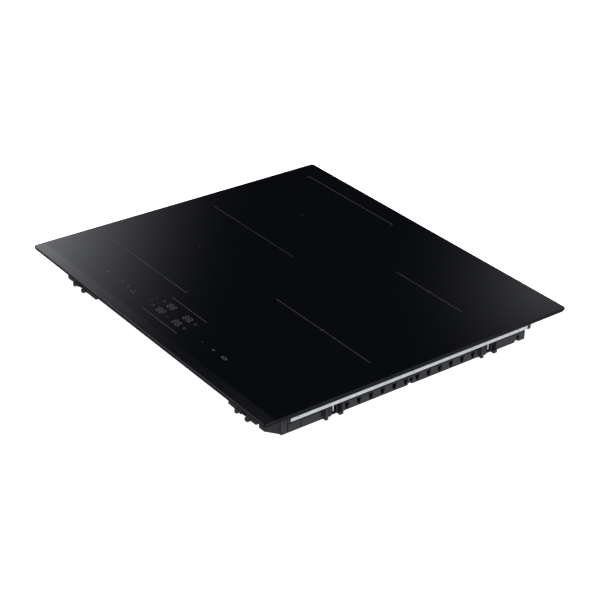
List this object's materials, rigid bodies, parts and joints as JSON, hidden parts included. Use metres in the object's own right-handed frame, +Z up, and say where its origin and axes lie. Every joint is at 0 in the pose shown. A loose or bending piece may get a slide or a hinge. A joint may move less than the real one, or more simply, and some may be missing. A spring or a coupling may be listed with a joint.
{
  "type": "built-in induction hob",
  "caption": "Built-in induction cooktop with a black glass top, a ground front facet, touch controls, metal side rails and a vented plastic base case",
  "frame": {"origin": "centre of the footprint at the underside of the base case", "axes": "+X to the user's right along the front edge, +Y away from the user, +Z up out of the cooking surface"},
  "size_m": [0.59, 0.52, 0.046],
  "materials": {
    "black_glass": "polished black glass-ceramic",
    "seal_foam": "closed-cell foam",
    "silicone": "matt",
    "black_plastic": "fine moulded texture",
    "dark_plastic": "moulded",
    "white_plastic": "moulded",
    "brass": "plain",
    "circuit_board": "solder resist",
    "copper": "lacquered wire",
    "capacitor_yellow": "moulded",
    "capacitor_grey": "moulded",
    "display_black": "moulded",
    "touch_foam": "foam",
    "zinc_screw": "zinc plated",
    "sensor_silicone": "matt",
    "spring_steel": "bright",
    "galvanised": "galvanised",
    "aluminium_sheet": "mill finish",
    "aluminium_sink": "extruded",
    "transistor_black": "moulded",
    "rotor_plastic": "moulded",
    "carrier_plastic": "moulded",
    "ferrite": "sintered",
    "mica_felt": "felt with mica face"
  },
  "bodies": {
    "hob": {"air_duct_left": "dark_plastic", "air_duct_right": "dark_plastic", "base_case": "black_plastic", "board_screws": "zinc_screw", "buzzer": "display_black", "cable_inlet": "black_plastic", "case_screws": "zinc_screw", "choke_left": "copper", "choke_right": "copper", "coil_carrier_front_left": "carrier_plastic", "coil_carrier_front_right": "carrier_plastic", "coil_carrier_rear_left": "carrier_plastic", "coil_carrier_rear_right": "carrier_plastic", "coil_ferrites_front_left": "ferrite", "coil_ferrites_front_right": "ferrite", "coil_ferrites_rear_left": "ferrite", "coil_ferrites_rear_right": "ferrite", "coil_insulation_front_left": "mica_felt", "coil_insulation_front_right": "mica_felt", "coil_insulation_rear_left": "mica_felt", "coil_insulation_rear_right": "mica_felt", "coil_plate_left": "aluminium_sheet", "coil_plate_right": "aluminium_sheet", "coil_springs": "spring_steel", "coil_winding_front_left": "copper", "coil_winding_front_right": "copper", "coil_winding_rear_left": "copper", "coil_winding_rear_right": "copper", "display_modules": "display_black", "fan_housing_left": "dark_plastic", "fan_housing_right": "dark_plastic", "film_capacitors_left": "capacitor_grey", "film_capacitors_right": "capacitor_grey", "filter_board": "circuit_board", "filter_capacitors": "capacitor_yellow", "filter_choke": "copper", "glass_bead": "silicone", "glass_sensors": "sensor_silicone", "glass_top": "black_glass", "heat_sink_left": "aluminium_sink", "heat_sink_right": "aluminium_sink", "plate_screws": "zinc_screw", "power_board_left": "circuit_board", "power_board_right": "circuit_board", "power_transistors_left": "transistor_black", "power_transistors_right": "transistor_black", "side_rail_left": "galvanised", "side_rail_right": "galvanised", "terminal_block": "white_plastic", "terminal_screws": "brass", "top_frame": "black_plastic", "touch_pads": "touch_foam", "ui_board": "circuit_board", "ui_carrier": "dark_plastic", "worktop_seal": "seal_foam"},
    "rotor_left": {"fan_rotor_left": "rotor_plastic"},
    "rotor_right": {"fan_rotor_right": "rotor_plastic"},
    "terminal_flap": {"terminal_cover": "black_plastic"}
  },
  "joints": [
    {"name": "fan_spin_left", "type": "hinge", "parent": "hob", "child": "rotor_left", "pos_m": [-0.08, 0.105, 0.0124], "axis": [0, 0, 1], "continuous": true},
    {"name": "fan_spin_right", "type": "hinge", "parent": "hob", "child": "rotor_right", "pos_m": [0.08, 0.105, 0.0124], "axis": [0, 0, 1], "continuous": true},
    {"name": "terminal_cover_hinge", "type": "hinge", "parent": "hob", "child": "terminal_flap", "pos_m": [0.19, 0.1668, 0.0022], "axis": [-1, 0, 0], "range_deg": [0, 95]}
  ]
}
